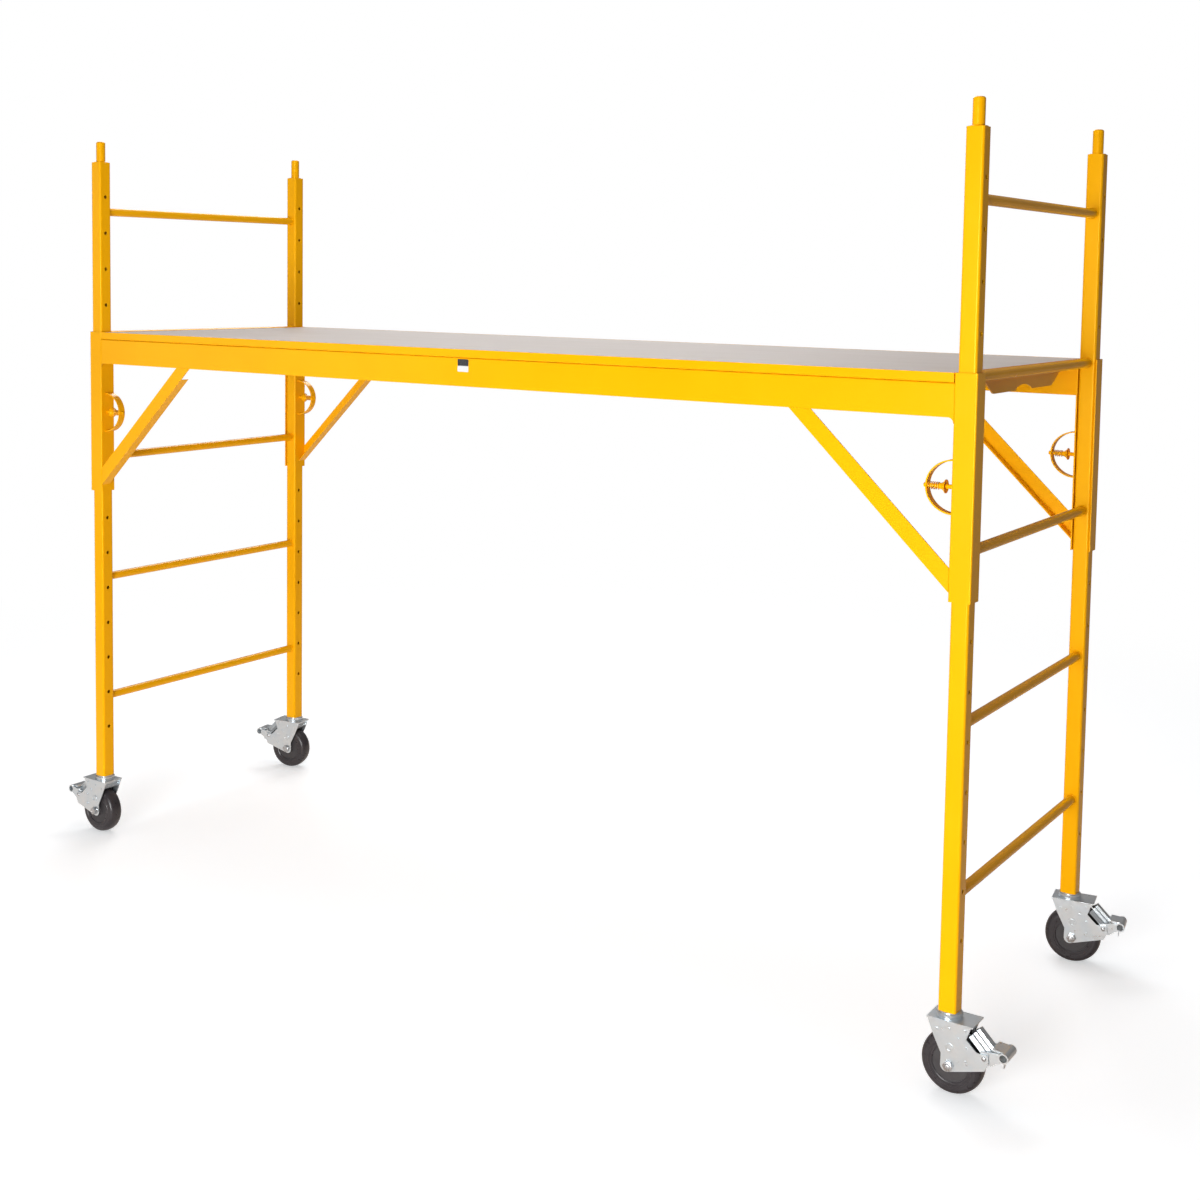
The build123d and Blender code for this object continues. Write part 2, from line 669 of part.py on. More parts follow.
def build_yoke(corner):
    """Pressed housing: top plate, two side plates, end web and the lower ball race."""
    side = caster_side(corner)
    ahead, _ = caster_directions(corner)
    x, y = post_axis(corner)
    top = YOKE_TOP - WHEEL_R  # in the crosswise plane, whose origin is the axle
    beyond = 2 * WHEEL_R
    back = [(u + YOKE_END_WEB_THICK, z) for u, z in reversed(YOKE_END_WEB)]
    with BuildPart() as yoke:
        with BuildSketch(caster_across(corner)) as channel:
            with Locations((0, top - beyond / 2)):
                Rectangle(2 * YOKE_HALF, beyond)
            fillet(channel.vertices().group_by(Axis.Y)[-1], YOKE_BEND)
            with Locations((0, top - beyond / 2 - YOKE_SHEET)):
                Rectangle(2 * (YOKE_HALF - YOKE_SHEET), beyond, mode=Mode.SUBTRACT)
        extrude(amount=beyond, both=True)
        with BuildSketch(side) as outline:
            with BuildLine():
                Polyline(*YOKE_OUTLINE, close=True)
            make_face()
            fillet(outline.vertices().group_by(Axis.Y)[0], YOKE_FOOT_ROUND)
            fillet(outline.vertices().group_by(Axis.X)[-1], YOKE_TIP_ROUND)
        extrude(amount=2 * YOKE_HALF, both=True, mode=Mode.INTERSECT)
        with BuildSketch(side):
            with BuildLine():
                Polyline(*YOKE_END_WEB, *back, close=True)
            make_face()
        extrude(amount=YOKE_HALF - YOKE_SHEET, both=True)
        with BuildSketch(Plane(origin=(x, y, YOKE_TOP), x_dir=ahead)):
            with Locations((sum(YOKE_PLATE) / 2, 0)):
                Rectangle(YOKE_PLATE[1] - YOKE_PLATE[0], 2 * YOKE_PLATE_HALF)
        extrude(amount=-YOKE_PLATE_THICK)
        for offset, rise in ((YOKE_HALF, EMBOSS), (-YOKE_HALF, -EMBOSS)):
            with BuildSketch(side.offset(offset)):
                with Locations(*YOKE_DIMPLES):
                    Circle(DIMPLE_R)
                with Locations(YOKE_BOSS):
                    Circle(BOSS_R)
                    Circle(BOSS_BORE_R, mode=Mode.SUBTRACT)
            extrude(amount=rise)
        with BuildSketch(Plane(origin=(x, y, YOKE_TOP - YOKE_SHEET / 2))):
            Circle(LOWER_RACE_R)
        extrude(amount=LOWER_RACE_TOP - YOKE_TOP + YOKE_SHEET / 2)
        with BuildSketch(Plane(origin=(x, y, YOKE_TOP))):
            Circle(KING_R + RUNNING_FIT)
        extrude(amount=4 * YOKE_SHEET, both=True, mode=Mode.SUBTRACT)
        with BuildSketch(side):
            with Locations((AXLE_OUT, WHEEL_R)):
                Circle(AXLE_R + RUNNING_FIT)
            with Locations(PIVOT_AT):
                Circle(PIVOT_R + RUNNING_FIT)
        extrude(amount=2 * YOKE_HALF, both=True, mode=Mode.SUBTRACT)
    return yoke.part


def build_tyre(corner):
    """Crowned solid tyre with a raised ring on each sidewall."""
    across = caster_across(corner)
    ring_low, ring_high = TYRE_RING
    proud = TYRE_HALF + TYRE_RING_PROUD
    shoulder, crown = TYRE_CROWN
    foot = (TYRE_HALF, CORE_R + 3 * TYRE_RING_PROUD)
    foot_in = (TYRE_HALF - 1, CORE_R)
    with BuildPart() as tyre:
        with BuildSketch(across):
            with BuildLine():
                Line((-foot_in[0], foot_in[1]), foot_in)
                for s in (1, -1):
                    wall = [
                        foot_in,
                        foot,
                        (TYRE_HALF, ring_low),
                        (proud, ring_low + TYRE_RING_PROUD),
                        (proud, ring_high - TYRE_RING_PROUD),
                        (TYRE_HALF, ring_high),
                        (TYRE_HALF, TYRE_EDGE_R),
                    ]
                    Polyline(*[(s * v, r) for v, r in wall])
                    ThreePointArc(
                        (s * TYRE_HALF, TYRE_EDGE_R),
                        (s * shoulder[0], shoulder[1]),
                        (s * crown[0], crown[1]),
                    )
                ThreePointArc(crown, (0, WHEEL_R), (-crown[0], crown[1]))
            make_face()
        revolve(axis=Axis(across.origin, across.x_dir))
    return tyre.part


def build_wheel_core(corner):
    """Wheel core: hub and disc in one, bored for the axle."""
    across = caster_across(corner)
    half_section = [
        (HUB_HALF, AXLE_R + RUNNING_FIT),
        (HUB_HALF, HUB_R),
        (CORE_HALF, HUB_R + 3),
        (CORE_HALF, CORE_R - CORE_SEAT),
    ]
    mirrored = [(-v, r) for v, r in reversed(half_section)]
    with BuildPart() as core:
        with BuildSketch(across):
            with BuildLine():
                Polyline(*half_section, *mirrored, close=True)
            make_face()
        revolve(axis=Axis(across.origin, across.x_dir))
    return core.part


def build_caster_bolts(corner):
    """Axle bolt, its nut, and the pivot rivet of the brake lever."""
    side = caster_side(corner)
    outside = YOKE_HALF + BOLT_GAP
    with BuildPart() as bolts:
        with BuildSketch(side.offset(-outside)):
            with Locations((AXLE_OUT, WHEEL_R)):
                Circle(AXLE_R)
        extrude(amount=2 * outside + NUT_THICK + BOLT_PAST_NUT)
        with BuildSketch(side.offset(-outside)):
            with Locations((AXLE_OUT, WHEEL_R)):
                Circle(WASHER_R)
            with Locations(PIVOT_AT):
                Circle(RIVET_R)
        extrude(amount=-WASHER_THICK)
        with BuildSketch(side.offset(-outside - WASHER_THICK)):
            with Locations((AXLE_OUT, WHEEL_R)):
                RegularPolygon(HEX_R, 6)
        extrude(amount=-HEX_HEAD)
        with BuildSketch(side.offset(outside)):
            with Locations((AXLE_OUT, WHEEL_R)):
                RegularPolygon(HEX_R, 6)
                Circle(AXLE_R + THREAD_FIT, mode=Mode.SUBTRACT)
        extrude(amount=NUT_THICK)
        with BuildSketch(side.offset(-outside)):
            with Locations(PIVOT_AT):
                Circle(PIVOT_R)
        extrude(amount=2 * outside)
        with BuildSketch(side.offset(outside)):
            with Locations(PIVOT_AT):
                Circle(RIVET_R)
        extrude(amount=WASHER_THICK)
    return bolts.part


def build_brake_lever(corner):
    """Foot lever: stepped spine, two cheeks, rolled pedal, and the shoe that meets the tyre."""
    side = caster_side(corner)
    outer = [(v, -deep) for v, deep in LEVER_STEPS]
    inner = [(v - LEVER_SHEET, -deep - LEVER_SHEET) for v, deep in LEVER_STEPS[:-1]]
    foot_v, foot_deep = LEVER_STEPS[-1]
    right = [*outer, (foot_v - LEVER_SHEET, -foot_deep), *reversed(inner)]
    left = [(-v, z) for v, z in reversed(right)]
    with BuildPart() as lever:
        with BuildSketch(lever_across(corner)):
            with BuildLine():
                Polyline(*right, *left, close=True)
            make_face()
        extrude(amount=LEVER_RUN)
        with BuildSketch(side):
            with Locations(PEDAL_ROLL_AT):
                Circle(PEDAL_ROLL_R)
                Circle(PEDAL_ROLL_R - LEVER_SHEET, mode=Mode.SUBTRACT)
        extrude(amount=LEVER_HALF, both=True)
        for offset, depth in ((LEVER_HALF, -LEVER_SHEET), (-LEVER_HALF, LEVER_SHEET)):
            with BuildSketch(side.offset(offset)):
                with BuildLine():
                    Polyline(*LEVER_CHEEK, close=True)
                make_face()
            extrude(amount=depth)
        for outline, half in (
            (PEDAL_WEB, PEDAL_WEB_HALF),
            (BRAKE_SHOE, SHOE_HALF),
            (PEDAL_TONGUE, TONGUE_HALF),
        ):
            with BuildSketch(side):
                with BuildLine():
                    Polyline(*outline, close=True)
                make_face()
            extrude(amount=half, both=True)
        with BuildSketch(side):
            with Locations(PIVOT_AT):
                Circle(PIVOT_R + RUNNING_FIT)
        extrude(amount=2 * LEVER_HALF, both=True, mode=Mode.SUBTRACT)
    return lever.part


# ---------------------------------------------------------------- all pieces

PER_CORNER = {
    "post": build_post,
    "sleeve": build_sleeve,
    "knee_brace": build_knee_brace,
    "pin_guard": build_pin_guard,
    "pull_pin": build_pull_pin,
    "pin_spring": build_pin_spring,
    "caster_yoke": build_yoke,
    "tyre": build_tyre,
    "wheel_core": build_wheel_core,
    "caster_bolts": build_caster_bolts,
    "brake_lever": build_brake_lever,
}

for piece, build in PER_CORNER.items():
    for place in CORNERS:
        save(build(place), f"{piece}_{place}")

for end, sign in (("left", -1), ("right", 1)):
    save(build_rungs(sign), f"rungs_{end}")
    save(build_deck_end_channel(sign), f"deck_end_channel_{end}")

for flank, sign in (("front", -1), ("rear", 1)):
    save(build_rail(sign), f"truss_rail_{flank}")
    save(build_deck_edge(sign), f"deck_edge_{flank}")

save(build_coupling_pins(), "coupling_pins")
save(build_caster_stems(), "caster_stems")
save(build_deck_panel(), "deck_panel")
save(build_deck_joists(), "deck_joists")
save(build_deck_screws(), "deck_screws")
save(build_label_plate(), "label_plate")
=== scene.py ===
"""Looks of the baker scaffold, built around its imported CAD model.

Metres, +Z up, in the CAD frame: the origin is on the floor midway between the posts, +X along
the deck and +Y from the front truss to the rear one. A corner is named as in the CAD model.
"""

import json
import random
from math import cos, hypot, pi, radians, sin

import bmesh
import bpy
from mathutils import Matrix, Vector


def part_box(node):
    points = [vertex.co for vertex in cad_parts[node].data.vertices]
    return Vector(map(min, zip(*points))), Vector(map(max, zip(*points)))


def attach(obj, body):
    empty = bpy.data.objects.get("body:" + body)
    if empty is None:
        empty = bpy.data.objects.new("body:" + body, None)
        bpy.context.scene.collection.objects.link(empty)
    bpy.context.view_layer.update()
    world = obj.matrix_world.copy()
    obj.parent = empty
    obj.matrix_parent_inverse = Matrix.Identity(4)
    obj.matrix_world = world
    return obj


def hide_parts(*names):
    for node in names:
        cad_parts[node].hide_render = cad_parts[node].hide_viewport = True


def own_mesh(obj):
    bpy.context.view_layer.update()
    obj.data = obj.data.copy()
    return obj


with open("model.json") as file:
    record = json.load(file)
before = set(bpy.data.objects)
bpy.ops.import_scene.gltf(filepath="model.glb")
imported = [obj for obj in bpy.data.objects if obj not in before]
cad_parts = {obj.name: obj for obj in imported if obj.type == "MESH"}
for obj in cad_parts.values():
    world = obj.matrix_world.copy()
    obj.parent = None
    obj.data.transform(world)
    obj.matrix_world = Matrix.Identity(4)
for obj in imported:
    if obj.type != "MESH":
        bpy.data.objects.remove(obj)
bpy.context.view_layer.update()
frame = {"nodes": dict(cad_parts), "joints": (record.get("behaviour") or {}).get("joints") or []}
NODES = frame["nodes"]
JOINTS = {joint["name"]: joint for joint in frame["joints"]}

MM = 0.001
AXIS_X, AXIS_Y, AXIS_Z = Vector((1, 0, 0)), Vector((0, 1, 0)), Vector((0, 0, 1))
CORNERS = {  # signs of a corner's x and y
    "front_left": (-1, -1),
    "front_right": (1, -1),
    "rear_left": (-1, 1),
    "rear_right": (1, 1),
}

# ---------------------------------------------------------------- camera, light and floor

CAMERA_AT = (2.4251, -3.4505, 1.6344)
CAMERA_YAW = radians(34.208)
CAMERA_PITCH = radians(-4.244)
CAMERA_ROLL = radians(0.831)
CAMERA_LENS = 48.54  # millimetres, on Blender's 36 mm sensor
CAMERA_SHIFT = (0.0219, -0.17)  # in picture widths
CAMERA_FAR = 200.0

LIGHTS = {  # place, the point it faces, width and height, watts
    "key": ((1.3, -4.7, 1.05), (1.0, 0, 0.9), (2.2, 2.0), 243),
    "fill": ((-3.6, -3.4, 1.6), (-1.1, 0, 0.9), (2.0, 2.4), 12),
    "back": ((-3.0, 4.2, 5.0), (0, 0, 1.0), (4.0, 2.0), 130),
    "top": ((-0.3, 0.6, 4.6), (-0.1, 0.1, 0), (3.6, 2.4), 52),
}

WORLD_LOW = (0.13, 0.11, 0.10, 1)
WORLD_HIGH = (0.37, 0.36, 0.36, 1)
WORLD_HIGH_FROM = 0.9  # share of the way up to the zenith
WHITE = (1, 1, 1, 1)

FLOOR_RADIUS = 60.0
FLOOR_SEEN = (0.84, 0.86, 0.88, 1)  # by the camera
FLOOR_UNSEEN = (0.64, 0.53, 0.45, 1)  # by light that bounces back up from it
FLOOR_GLOW = (0.97, 0.99, 1, 1)
GLOW_SEEN = 0.42
GLOW_LEFT, GLOW_RIGHT = (-2.2, 0.45), (0.6, 0.05)  # x, and the unseen glow there
FADE_START, FADE_END = 1.5, 4.5  # distance from the origin
FAR_GLOW_UNSEEN = 0.20


def build_camera():
    """The photograph's viewpoint, with part of its shift as pitch to keep other views framed."""
    data = bpy.data.cameras.new("camera")
    data.lens = CAMERA_LENS
    data.shift_x, data.shift_y = CAMERA_SHIFT
    data.clip_end = CAMERA_FAR
    camera = bpy.data.objects.new("camera", data)
    camera.location = CAMERA_AT
    turn = Matrix.Rotation(CAMERA_YAW, 4, "Z") @ Matrix.Rotation(pi / 2 + CAMERA_PITCH, 4, "X")
    camera.rotation_euler = (turn @ Matrix.Rotation(CAMERA_ROLL, 4, "Z")).to_euler()
    bpy.context.scene.collection.objects.link(camera)
    bpy.context.scene.camera = camera


def area_light(name, at, towards, size, power):
    """One rectangular softbox."""
    data = bpy.data.lights.new(name, "AREA")
    data.shape = "RECTANGLE"
    data.size, data.size_y = size
    data.energy = power
    light = bpy.data.objects.new(name, data)
    light.location = at
    light.rotation_euler = (Vector(towards) - Vector(at)).to_track_quat("-Z", "Y").to_euler()
    bpy.context.scene.collection.objects.link(light)


def build_lights():
    """A strong front softbox between the end frames, and weaker ones left, behind and above."""
    for name, (at, towards, size, power) in LIGHTS.items():
        area_light(name, at, towards, size, power)


def build_world():
    """Grey studio surround for light and reflections, seen as white behind the object."""
    world = bpy.data.worlds.new("studio")
    bpy.context.scene.world = world
    world.use_nodes = True
    tree = world.node_tree
    surround = tree.nodes["Background"]
    white = tree.nodes.new("ShaderNodeBackground")
    white.inputs["Color"].default_value = WHITE
    white.inputs["Strength"].default_value = 1.0
    coords = tree.nodes.new("ShaderNodeTexCoord")
    split = tree.nodes.new("ShaderNodeSeparateXYZ")
    ramp = tree.nodes.new("ShaderNodeValToRGB")
    ramp.color_ramp.elements[0].position = 0.0
    ramp.color_ramp.elements[0].color = WORLD_LOW
    ramp.color_ramp.elements[1].position = WORLD_HIGH_FROM
    ramp.color_ramp.elements[1].color = WORLD_HIGH
    tree.links.new(coords.outputs["Generated"], split.inputs[0])
    tree.links.new(split.outputs["Z"], ramp.inputs[0])
    tree.links.new(ramp.outputs[0], surround.inputs["Color"])
    path = tree.nodes.new("ShaderNodeLightPath")
    mix = tree.nodes.new("ShaderNodeMixShader")
    tree.links.new(path.outputs["Is Camera Ray"], mix.inputs[0])
    tree.links.new(surround.outputs[0], mix.inputs[1])
    tree.links.new(white.outputs[0], mix.inputs[2])
    tree.links.new(mix.outputs[0], tree.nodes["World Output"].inputs["Surface"])


def build_floor():
    """Pale round floor that fades into the white surround.

    The camera sees it glow evenly. Other rays see a glow that is weaker on the right, so that the
    right-hand end frame's outer sides stay dark.
    """
    bm = bmesh.new()
    bmesh.ops.create_circle(bm, cap_ends=True, segments=96, radius=FLOOR_RADIUS)
    data = bpy.data.meshes.new("floor")
    bm.to_mesh(data)
    bm.free()
    floor = bpy.data.objects.new("floor", data)
    bpy.context.scene.collection.objects.link(floor)
    s = Shader("floor", roughness=0.6)
    seen = s.node("ShaderNodeLightPath").outputs["Is Camera Ray"]
    s.set(Base_Color=s.mix(seen, FLOOR_UNSEEN, FLOOR_SEEN), Emission_Color=FLOOR_GLOW)
    across = s.node("ShaderNodeSeparateXYZ", {0: s.coords}).outputs[0]
    unseen = s.span(across, GLOW_LEFT[1], GLOW_RIGHT[1], GLOW_LEFT[0], GLOW_RIGHT[0])
    near = s.node("ShaderNodeMix", {0: seen, 2: unseen, 3: GLOW_SEEN}).outputs[0]
    s.set(Emission_Strength=near)
    length = s.node("ShaderNodeVectorMath", {0: s.coords}, operation="LENGTH").outputs["Value"]
    inputs = {"Value": length, "From Min": FADE_START, "From Max": FADE_END}
    far = s.node("ShaderNodeMapRange", inputs, interpolation_type="SMOOTHSTEP").outputs[0]
    glow = s.node("ShaderNodeEmission", {"Strength": s.span(seen, FAR_GLOW_UNSEEN, 1.0)})
    mix = s.node("ShaderNodeMixShader", {0: far, 1: s.surface.outputs[0], 2: glow.outputs[0]})
    s.tree.links.new(mix.outputs[0], s.tree.nodes["Material Output"].inputs["Surface"])
    data.materials.append(s.material)


# ---------------------------------------------------------------- materials

EDGE_AT, EDGE_OFF = 0.7, 0.96  # a face's normal times the rounded one's, on an edge and off it


class Shader:
    """A procedural material, with patterns laid out in the object's own metres."""

    def __init__(self, name, roughness=0.4, metallic=0.0):
        self.material = bpy.data.materials.new(name)
        self.material.use_nodes = True
        self.tree = self.material.node_tree
        self.surface = self.tree.nodes["Principled BSDF"]
        self.surface.inputs["Metallic"].default_value = metallic
        self.surface.inputs["Roughness"].default_value = roughness
        self.coords = self.tree.nodes.new("ShaderNodeTexCoord").outputs["Object"]

    def node(self, kind, inputs=None, **settings):
        """A new node, with settings and inputs: an input is a value or another node's output."""
        made = self.tree.nodes.new(kind)
        for key, value in settings.items():
            setattr(made, key, value)
        for key, value in (inputs or {}).items():
            if isinstance(value, bpy.types.NodeSocket):
                self.tree.links.new(value, made.inputs[key])
            else:
                made.inputs[key].default_value = value
        return made

    def noise(self, scale, detail=3.0, stretch=(1, 1, 1), roughness=0.55):
        """Noise from 0 to 1. Scale is in features per metre."""
        spread = self.node("ShaderNodeMapping", {"Vector": self.coords, "Scale": stretch})
        inputs = {"Vector": spread.outputs[0], "Scale": scale, "Detail": detail}
        inputs["Roughness"] = roughness
        return self.node("ShaderNodeTexNoise", inputs).outputs[0]

    def span(self, value, low, high, start=0.0, end=1.0):
        """Maps start..end to low..high."""
        inputs = {"Value": value, "From Min": start, "From Max": end}
        inputs.update({"To Min": low, "To Max": high})
        return self.node("ShaderNodeMapRange", inputs).outputs[0]

    def times(self, first, second):
        """The product of two values."""
        return self.node("ShaderNodeMath", {0: first, 1: second}, operation="MULTIPLY").outputs[0]

    def mix(self, share, first, second):
        """Mixes two colours, each four numbers or an output."""
        inputs = {0: share, 6: first, 7: second}
        return self.node("ShaderNodeMix", inputs, data_type="RGBA").outputs[2]

    def edges(self, radius):
        """1 near a sharp edge and 0 on flat faces."""
        rounded = self.node("ShaderNodeBevel", {"Radius": radius}, samples=4)
        flat = self.node("ShaderNodeNewGeometry").outputs["Normal"]
        inputs = {0: rounded.outputs[0], 1: flat}
        dot = self.node("ShaderNodeVectorMath", inputs, operation="DOT_PRODUCT").outputs["Value"]
        return self.span(dot, 1.0, 0.0, EDGE_AT, EDGE_OFF)

    def bump(self, height, distance, strength, over=None):
        """A bumped normal, on top of another one if given."""
        inputs = {"Height": height, "Distance": distance, "Strength": strength}
        if over is not None:
            inputs["Normal"] = over
        return self.node("ShaderNodeBump", inputs).outputs[0]

    def set(self, **inputs):
        """Sets the surface's inputs. A capital starts each word of a name, and _ is a space."""
        for key, value in inputs.items():
            socket = self.surface.inputs[key.replace("_", " ")]
            if isinstance(value, bpy.types.NodeSocket):
                self.tree.links.new(value, socket)
            else:
                socket.default_value = value


def yellow_paint():
    """Smooth powder coat: faint thick and thin spots, a few scuffs, chipped on edges, and a
    painted highlight that makes edges paler.
    """
    s = Shader("yellow_paint")
    patches = s.span(s.noise(4.0), 0.0, 1.0, 0.3, 0.7)
    tone = s.mix(patches, (0.88, 0.405, 0.001, 1), (0.92, 0.435, 0.002, 1))
    speck = s.span(s.noise(900.0, 2.0), 0.0, 0.25, 0.64, 0.78)
    tone = s.mix(speck, tone, (0.72, 0.27, 0.003, 1))
    edge = s.edges(0.7 * MM)
    chips = s.times(edge, s.span(s.noise(160.0, 4.0), 0.0, 1.0, 0.62, 0.70))
    # painted highlight: edges are mixed a little towards a paler yellow
    tone = s.mix(s.times(edge, 0.1), tone, (0.98, 0.50, 0.01, 1))
    tone = s.mix(s.times(chips, 0.2), tone, (0.40, 0.20, 0.04, 1))
    scuffs = s.span(s.noise(18.0, 5.0), 0.0, 1.0, 0.55, 0.8)
    s.set(Base_Color=tone, Roughness=s.span(scuffs, 0.22, 0.30), Specular_IOR_Level=0.5)
    s.set(Specular_Tint=(1.0, 0.65, 0.12, 1))
    s.set(Normal=s.bump(s.noise(420.0, 2.0), 0.4 * MM, 0.07))
    return s.material


def zinc_plate():
    """Bright zinc plating with faint blue and grey tints and a rolled grain."""
    s = Shader("zinc_plate", metallic=0.85)
    spangle = s.span(s.noise(28.0, 3.0), 0.0, 1.0, 0.35, 0.65)
    tint = s.mix(spangle, (0.63, 0.70, 0.75, 1), (0.69, 0.73, 0.75, 1))
    cloud = s.span(s.noise(120.0, 5.0), 0.0, 0.3, 0.5, 0.8)
    tint = s.mix(cloud, tint, (0.57, 0.62, 0.66, 1))
    s.set(Base_Color=tint, Roughness=s.span(s.noise(60.0, 3.0), 0.27, 0.33, 0.3, 0.7))
    s.set(Normal=s.bump(s.noise(700.0, 3.0, (1, 1, 0.25)), 0.3 * MM, 0.08))
    return s.material


def bolt_steel():
    """Plated fasteners, darker and duller in patches."""
    s = Shader("bolt_steel", metallic=1.0)
    dull = s.span(s.noise(150.0, 4.0), 0.0, 1.0, 0.35, 0.7)
    tint = s.mix(dull, (0.56, 0.58, 0.60, 1), (0.44, 0.45, 0.46, 1))
    s.set(Base_Color=tint, Roughness=s.span(s.noise(300.0, 3.0), 0.2, 0.42, 0.3, 0.7))
    s.set(Normal=s.bump(s.noise(900.0, 2.0), 0.2 * MM, 0.2))
    return s.material


def spring_steel():
    """Spring wire under the same yellow coat, thinner and more metallic."""
    s = Shader("spring_steel", metallic=0.35)
    thin = s.span(s.noise(240.0, 3.0), 0.0, 1.0, 0.3, 0.7)
    tone = s.mix(thin, (0.70, 0.34, 0.02, 1), (0.88, 0.50, 0.05, 1))
    s.set(Base_Color=tone, Roughness=s.span(s.noise(400.0, 2.0), 0.25, 0.4))
    s.set(Normal=s.bump(s.noise(1200.0, 2.0), 0.2 * MM, 0.2))
    return s.material


def tyre_rubber():
    """Hard dark rubber with a satin moulded skin and a little dust."""
    s = Shader("tyre_rubber")
    patches = s.span(s.noise(35.0, 4.0), 0.0, 1.0, 0.3, 0.75)
    tone = s.mix(patches, (0.024, 0.021, 0.024, 1), (0.036, 0.032, 0.036, 1))
    dust = s.span(s.noise(220.0, 5.0), 0.0, 0.25, 0.6, 0.8)
    s.set(Base_Color=s.mix(dust, tone, (0.08, 0.075, 0.08, 1)), Specular_IOR_Level=0.45)
    s.set(Roughness=s.span(s.noise(90.0, 4.0), 0.24, 0.4, 0.3, 0.7))
    s.set(Normal=s.bump(s.noise(600.0, 3.0), 0.3 * MM, 0.25))
    return s.material


def wheel_core_plastic():
    """Dull moulded core, slightly lighter than the tyre."""
    s = Shader("wheel_core")
    patches = s.span(s.noise(60.0, 3.0), 0.0, 1.0)
    tone = s.mix(patches, (0.022, 0.020, 0.022, 1), (0.045, 0.041, 0.044, 1))
    s.set(Base_Color=tone, Roughness=s.span(s.noise(140.0, 3.0), 0.45, 0.65))
    s.set(Normal=s.bump(s.noise(800.0, 2.0), 0.3 * MM, 0.25))
    return s.material


def plywood():
    """Pale sealed plywood with its grain along the deck and a few marks."""
    s = Shader("plywood")
    grain = s.noise(60.0, 6.0, (0.05, 1, 1), 0.65)
    fine = s.noise(420.0, 3.0, (0.03, 1, 1), 0.6)
    tone = s.mix(s.span(grain, 0.0, 1.0, 0.3, 0.7), (0.55, 0.49, 0.45, 1), (0.64, 0.59, 0.56, 1))
    tone = s.mix(s.span(fine, 0.0, 0.35, 0.5, 0.8), tone, (0.50, 0.43, 0.38, 1))
    marks = s.span(s.noise(5.0, 6.0, (1, 1, 1), 0.7), 0.0, 0.4, 0.55, 0.8)
    tone = s.mix(marks, tone, (0.57, 0.52, 0.49, 1))
    s.set(Base_Color=tone, Roughness=s.span(grain, 0.42, 0.6), Specular_IOR_Level=0.4)
    s.set(Normal=s.bump(fine, 0.4 * MM, 0.3, s.bump(grain, 1.0 * MM, 0.15)))
    return s.material


def label_finish():
    """Blank satin plate, in a pale and a dark half."""
    s = Shader("label")
    height = s.node("ShaderNodeSeparateXYZ", {0: s.coords}).outputs[2]
    lower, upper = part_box("label_plate")
    middle = (lower.z + upper.z) / 2
    band = s.span(height, 0.0, 1.0, middle - 1.2 * MM, middle - 0.8 * MM)
    tone = s.mix(band, (0.70, 0.71, 0.72, 1), (0.03, 0.03, 0.032, 1))
    wear = s.span(s.noise(200.0), 0.0, 0.2, 0.5, 0.8)
    s.set(Base_Color=s.mix(wear, tone, (0.4, 0.4, 0.4, 1)))
    s.set(Roughness=s.span(s.noise(150.0), 0.3, 0.45))
    s.set(Normal=s.bump(s.noise(500.0), 0.2 * MM, 0.15))
    return s.material


MATERIALS = {
    "yellow_paint": yellow_paint(),
    "zinc_plate": zinc_plate(),
    "bolt_steel": bolt_steel(),
    "spring_steel": spring_steel(),
    "tyre_rubber": tyre_rubber(),
    "wheel_core": wheel_core_plastic(),
    "plywood": plywood(),
    "label": label_finish(),
}
NODE_SLOTS = {  # by the start of a CAD node's name
    "caster_yoke": "zinc_plate",
    "caster_stems": "zinc_plate",
    "brake_lever": "zinc_plate",
    "caster_bolts": "bolt_steel",
    "deck_screws": "bolt_steel",
    "pin_spring": "spring_steel",
    "tyre": "tyre_rubber",
    "wheel_core": "wheel_core",
    "deck_panel": "plywood",
    "label_plate": "label",
}


def slot_of(node):
    """A CAD node's material slot: yellow paint unless its name starts with one in NODE_SLOTS."""
    found = [slot for start, slot in NODE_SLOTS.items() if node.startswith(start)]
    return found[0] if found else "yellow_paint"


SOFT_EDGES = {  # bevel widths, by the start of a CAD node's name
    "caster_yoke": 0.6 * MM,
    "brake_lever": 0.5 * MM,
    "label_plate": 0.2 * MM,
}
WELD_WITHIN = 0.01 * MM
FLAT_WITHIN = radians(0.5)
SOFTEN_ABOVE = radians(35)


def soften(node, width):
    """Rounds a CAD node's sharp edges by a small bevel, once its flat faces are whole."""
    weld = node.modifiers.new("weld", "WELD")
    weld.merge_threshold = WELD_WITHIN
    flat = node.modifiers.new("flat", "DECIMATE")
    flat.decimate_type = "DISSOLVE"
    flat.angle_limit = FLAT_WITHIN
    bevel = node.modifiers.new("bevel", "BEVEL")
    bevel.width = width
    bevel.segments = 2
    bevel.limit_method = "ANGLE"
    bevel.angle_limit = SOFTEN_ABOVE
    node.modifiers.new("weighted", "WEIGHTED_NORMAL").keep_sharp = False


def dress_nodes():
    """Gives every CAD node its material and slot, and rounds the sharp edges of some."""
    for name, node in NODES.items():
        slot = slot_of(name)
        node.data.materials.clear()
        node.data.materials.append(MATERIALS[slot])
        widths = [width for start, width in SOFT_EDGES.items() if name.startswith(start)]
        if widths:
            soften(node, widths[0])


# ---------------------------------------------------------------- mesh helpers

SHARP_ABOVE = radians(40)
HEX_POINTS = 60
HEX_FACE = 0.94  # radius of the flat top, as a share of half the width across flats
HEX_CORNER_FALL = 0.5  # how steeply the corners are turned down
HEX_DISH = (0.7, 0.66, 0.3 * MM)  # a head's shallow hollow: radius shares of its face, and depth
BEAD_POINTS = 8
BEAD_STEP = 1.1 * MM  # between the points of a straight bead's path
BEAD_WAVE = 2.7 * MM  # length of a ripple
BEAD_SWELL = 0.16
BEAD_JITTER = 0.07
BEAD_END = 0.45  # share of its radius at a loose end


